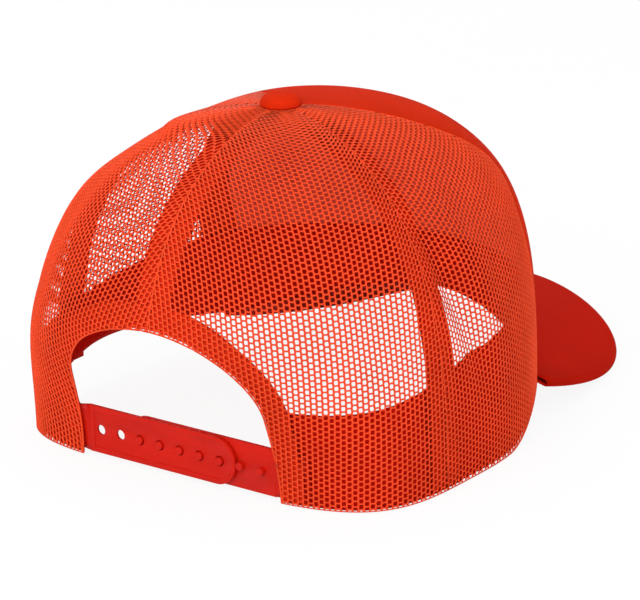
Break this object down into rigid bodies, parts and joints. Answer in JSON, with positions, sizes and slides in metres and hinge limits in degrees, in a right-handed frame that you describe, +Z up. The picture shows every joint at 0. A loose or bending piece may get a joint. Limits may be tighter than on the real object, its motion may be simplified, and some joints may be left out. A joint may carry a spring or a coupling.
{
  "type": "trucker cap",
  "caption": "Mesh-backed cap with a tall front panel, an arched stiff bill, a sweatband, a fabric-covered top button and an adjustable plastic snap strap across the rear arch.",
  "frame": {"origin": "on the flat surface that the cap stands on, under the middle of the head opening", "axes": "+Z up to the top button, -Y towards the tip of the bill, +X towards the wearer's left"},
  "size_m": [0.1784, 0.2463, 0.1286],
  "materials": {
    "mesh": "open polyester mesh, matte",
    "front_fabric": "smooth polyester over foam, matte",
    "foam": "open-cell foam, matte",
    "tape": "woven binding, matte",
    "sweatband": "brushed twill, matte",
    "bill_fabric": "plain weave, matte",
    "bill_board": "matte",
    "strap": "moulded, satin",
    "button_fabric": "woven cover, matte",
    "button_metal": "pressed, satin"
  },
  "bodies": {
    "crown": {"front_panel": "front_fabric", "front_foam": "foam", "left_side_panel": "mesh", "right_side_panel": "mesh", "left_rear_panel": "mesh", "right_rear_panel": "mesh", "front_left_tape": "tape", "front_right_tape": "tape", "side_left_tape": "tape", "side_right_tape": "tape", "centre_back_tape": "tape", "arch_tape": "tape", "sweatband": "sweatband", "bill_board": "bill_board", "bill_top_cover": "bill_fabric", "bill_under_cover": "bill_fabric", "hole_strap_tab": "strap", "peg_strap_tab": "strap", "button_cover": "button_fabric", "button_core": "button_metal", "button_washer": "button_metal", "button_rivet": "button_metal"},
    "hole_strap": {"hole_strap": "strap"},
    "peg_strap": {"peg_strap": "strap"}
  },
  "joints": [
    {"name": "hole_strap_swing", "type": "hinge", "parent": "crown", "child": "hole_strap", "pos_m": [0.0426, 0.0627, 0.0106], "axis": [0, 0, -1], "range_deg": [0, 90]},
    {"name": "peg_strap_swing", "type": "hinge", "parent": "crown", "child": "peg_strap", "pos_m": [-0.0426, 0.0627, 0.0106], "axis": [0, 0, -1], "range_deg": [0, 60]}
  ]
}
